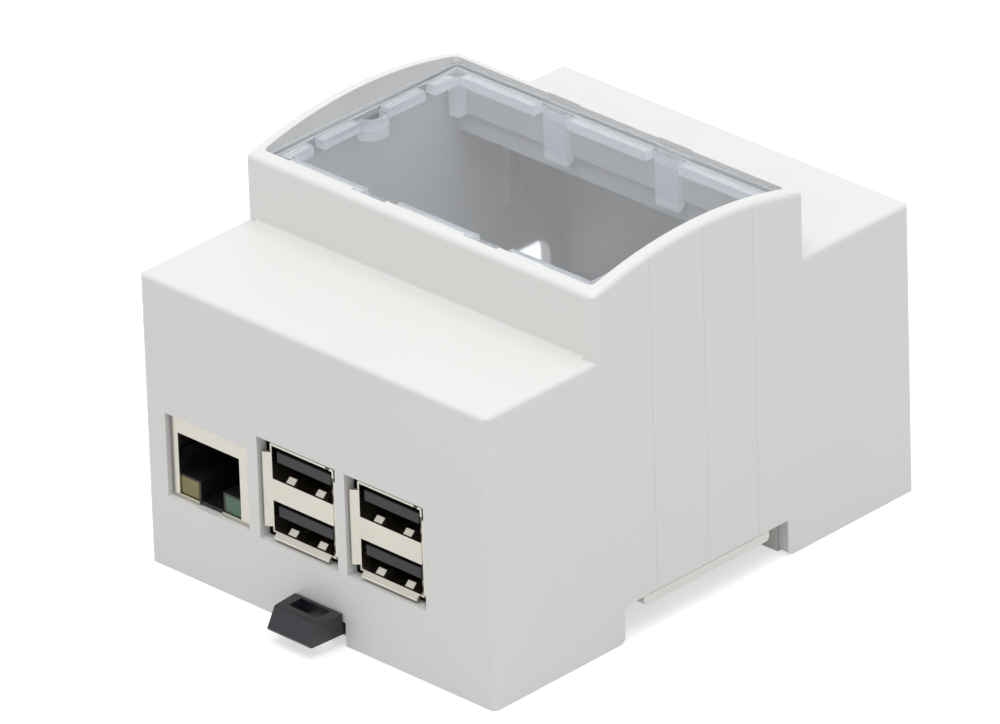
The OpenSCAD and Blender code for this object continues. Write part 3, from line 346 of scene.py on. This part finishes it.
finishes = {
    # Light grey ABS from an eroded mould: matt, with a grain that only shows at the highlights, and hairlines with
    # painted shade.
    "cover": moulded_plastic(
        "moulded_abs_cover",
        "#E1E1DF",
        "#DDDDDB",
        grain=0.32,
        depth=0.02,
        roughness=0.46,
        ior=1.53,
        tone=28,
        seams=insert_seams,
    ),
    # The same ABS from the base's own mould, a shade paler, so the seam under the cover can just be told.
    "base": moulded_plastic(
        "moulded_abs_base", "#E5E5E2", "#E1E1DD", grain=0.32, depth=0.02, roughness=0.46, ior=1.53, tone=28
    ),
    # Clear and glossy where it is polished, milky at ribs, legs and edges.
    "window": moulded_polycarbonate("moulded_polycarbonate_window"),
    # Anthracite nylon with a satin skin, as sprung latches have.
    "clip": moulded_plastic(
        "moulded_nylon_clip", "#1D1F26", "#191B21", grain=0.25, depth=0.02, roughness=0.36, ior=1.53, tone=9
    ),
    # Deep green lacquer with a soft gloss, and paler tracks under it.
    "board": solder_resist("solder_resist_board"),
    # Zinc-plated steel: bluish and half bright.
    "screw": sheet_metal("zinc_plated_steel_screw", "#BFC3C6", "#A9ADB2", roughness=0.3, streak=0.3, along="x"),
    # Nickel-plated sheet, warm in tone, with rolling streaks that soften what it mirrors.
    "socket_metal": sheet_metal(
        "nickel_plated_sheet_shell", "#CBC7BC", "#C0BCB2", roughness=0.24, streak=0.22, along="x"
    ),
    # Tin-plated sheet: neutral and duller than nickel.
    "connector_metal": sheet_metal(
        "tin_plated_sheet_connector", "#C9CACB", "#B5B7B9", roughness=0.32, streak=0.25, along="y"
    ),
    # Black PBT from a plain mould: the insides of the sockets look deep.
    "dark_plastic": moulded_plastic(
        "moulded_pbt_black", "#0C0D0F", "#111215", grain=0.3, depth=0.015, roughness=0.5, ior=1.5, tone=5
    ),
    # Near-black glass-filled LCP: its tongues look dark grey where they mirror the pale room.
    "port_plastic": moulded_plastic(
        "moulded_lcp_dark_grey", "#131619", "#101316", grain=0.3, depth=0.015, roughness=0.42, ior=1.48, tone=5
    ),
    # Gold-plated spring wire: yellow and bright, with drawing marks along it.
    "contact": sheet_metal(
        "gold_plated_contact", "#D9B25A", "#C79F4C", roughness=0.22, streak=0.2, along="y", depth=0.002
    ),
    # Unlit lamps: dull yellow, dull green and nearly clear.
    "lamp_yellow": tinted_epoxy("cast_epoxy_yellow_lamp", "#857A3C", "#6A6030"),
    "lamp_green": tinted_epoxy("cast_epoxy_green_lamp", "#3C6B50", "#2C553D"),
    "lamp_clear": tinted_epoxy("cast_epoxy_clear_lamp", "#C9D0BE", "#B5BDA9"),
    # Filled epoxy of the chips: dull charcoal.
    "chip": moulded_plastic(
        "moulded_epoxy_chip", "#1D1E20", "#242528", grain=0.18, depth=0.02, roughness=0.6, ior=1.55, tone=4
    ),
    # Undyed nylon of the ribbon sockets: cream, with a faint gloss.
    "ribbon": moulded_plastic(
        "moulded_nylon_ribbon_socket", "#DCD8CC", "#D2CEC0", grain=0.3, depth=0.01, roughness=0.4, ior=1.53, tone=6
    ),
    # Drawn aluminium: pale, with draw marks up the can.
    "can": sheet_metal("drawn_aluminium_can", "#CDCED0", "#BDBEC1", roughness=0.28, streak=0.2, along="z"),
    # Fired ceramic of the chip capacitors: tan and nearly matt.
    "ceramic": moulded_plastic(
        "fired_ceramic_capacitor", "#A08A68", "#8E7957", grain=0.2, depth=0.01, roughness=0.45, ior=1.6, tone=2
    ),
}


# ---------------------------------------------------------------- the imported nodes, dressed

# The radius, in millimetres, that the tool leaves on a piece's corners: the fine one, or the piece's own.
fine_corner = 0.05
corner_radius = {
    "upper_cover": 1.0,
    "base": 0.4,
    "window_panel": 0.15,
    "rail_clip": 0.5,
    "circuit_board": 0.08,
    "network_insert": 0.12,
    "header_body": 0.15,
    "processor_chip": 0.12,
    "network_chip": 0.1,
    "supply_chip": 0.08,
    "camera_connector": 0.12,
    "display_connector": 0.12,
    "supply_capacitor": 0.3,
    "audio_jack": 0.2,
    "left_port_insert": 0.15,
    "right_port_insert": 0.15,
    "network_lamp_left": 0.15,
    "network_lamp_right": 0.15,
}

# Corners under this distance apart are one, faces that turn less than the first angle are one plane, and edges that
# turn more than the second are rounded. Both angles are in radians.
same_corner = 0.0005 * MM
same_plane = 0.01
sharp_edge = 0.6


def dress(name, slot_name):
    """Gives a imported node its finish, and rounds its corners as its tool does."""
    piece = frame["nodes"][name]
    piece.data.materials.clear()
    piece.data.materials.append(finishes[slot_name])
    weld = piece.modifiers.new("join", "WELD")
    weld.merge_threshold = same_corner
    flat = piece.modifiers.new("plain faces", "DECIMATE")
    flat.decimate_type = "DISSOLVE"
    flat.angle_limit = same_plane
    bevel = piece.modifiers.new("corners", "BEVEL")
    bevel.width = corner_radius.get(name, fine_corner) * MM
    bevel.segments = 3
    bevel.limit_method = "ANGLE"
    bevel.angle_limit = sharp_edge
    bevel.use_clamp_overlap = True
    # The big faces shade as plain ones, and the light turns only over the rounded corners.
    shade = piece.modifiers.new("plain shading", "WEIGHTED_NORMAL")
    shade.mode = "FACE_AREA"
    shade.weight = 100


for subpart in frame["record"]["subparts"]:
    dress(subpart["node"], subpart["material_slot"])


# ---------------------------------------------------------------- floor, light and camera

# The table lies just under the feet, so its face and theirs don't share a plane.
table_drop = 0.05 * MM
table_half = 3.0
table_glow = 0.55

# The room's light on the object, and the white that the room shows where it is seen.
room_light = 0.765
room_white = 1.0

# The lamp faces a point this high over the rail.
aim_height = 25 * MM


def background_share(tree):
    """1 for the rays that look straight at the background or see it mirrored or through glass."""
    path = add(tree, "ShaderNodeLightPath")
    seen = path.outputs["Is Camera Ray"]
    for ray in ("Is Glossy Ray", "Is Transmission Ray"):
        seen = add(tree, "ShaderNodeMath", {"operation": "MAXIMUM", 0: seen, 1: path.outputs[ray]}).outputs[0]
    return seen


def lay_floor():
    """A wide white table under the feet. It looks white, and keeps the soft shadow of the object."""
    z = feet_z - table_drop
    corners = [(x * table_half, y * table_half, z) for x, y in ((-1, -1), (1, -1), (1, 1), (-1, 1))]
    mesh = bpy.data.meshes.new("table")
    mesh.from_pydata(corners, [], [(0, 1, 2, 3)])
    table = bpy.data.objects.new("table", mesh)
    bpy.context.collection.objects.link(table)
    material = bpy.data.materials.new("matt_white_table")
    material.use_nodes = True
    tree = material.node_tree
    tree.nodes.clear()
    matt = add(tree, "ShaderNodeBsdfDiffuse", {"Color": linear("#CDCDCD")})
    glow = add(tree, "ShaderNodeEmission", {"Color": linear("#FFFFFF"), "Strength": table_glow})
    white = add(tree, "ShaderNodeAddShader", {0: matt.outputs[0], 1: glow.outputs[0]})
    both = add(tree, "ShaderNodeMixShader", {0: background_share(tree), 1: matt.outputs[0], 2: white.outputs[0]})
    add(tree, "ShaderNodeOutputMaterial", {"Surface": both.outputs[0]})
    mesh.materials.append(material)


def light_world():
    """Even pale light from all round, white where it is seen."""
    world = bpy.data.worlds.new("studio")
    bpy.context.scene.world = world
    world.use_nodes = True
    tree = world.node_tree
    tree.nodes.clear()
    light = add(tree, "ShaderNodeBackground", {"Color": linear("#FFFFFF"), "Strength": room_light})
    white = add(tree, "ShaderNodeBackground", {"Color": linear("#FFFFFF"), "Strength": room_white})
    both = add(tree, "ShaderNodeMixShader", {0: background_share(tree), 1: light.outputs[0], 2: white.outputs[0]})
    add(tree, "ShaderNodeOutputWorld", {"Surface": both.outputs[0]})


def hang_lamp(name, place, size, watts):
    """A square soft box that faces the middle of the object."""
    lamp = bpy.data.lights.new(name, "AREA")
    lamp.shape = "SQUARE"
    lamp.size = size
    lamp.energy = watts
    holder = bpy.data.objects.new(name, lamp)
    holder.location = place
    aim = Vector((0, 0, aim_height)) - Vector(place)
    holder.rotation_euler = aim.to_track_quat("-Z", "Y").to_euler()
    bpy.context.collection.objects.link(holder)


def set_camera():
    """The camera stands two metres off with a long lens, to the right of the socket face and above it."""
    lens = bpy.data.cameras.new("camera")
    lens.sensor_width = 36
    lens.sensor_fit = "HORIZONTAL"
    lens.lens = 481.16
    lens.clip_start = 0.1
    lens.clip_end = 20
    stand = (1.23347, -1.24788, 0.94509)
    right = Vector((0.71984, 0.69353, -0.02902))
    down = Vector((0.30437, -0.35294, -0.88475))
    forward = Vector((-0.62385, 0.62805, -0.46515))
    turn = Matrix((right, -down, -forward)).transposed().to_4x4()
    holder = bpy.data.objects.new("camera", lens)
    holder.matrix_world = Matrix.Translation(stand) @ turn
    bpy.context.collection.objects.link(holder)
    bpy.context.scene.camera = holder


lay_floor()
light_world()
hang_lamp("overhead", place=(0.2, -0.15, 1.35), size=1.2, watts=9.8)
set_camera()
bpy.context.scene.view_settings.view_transform = "Standard"
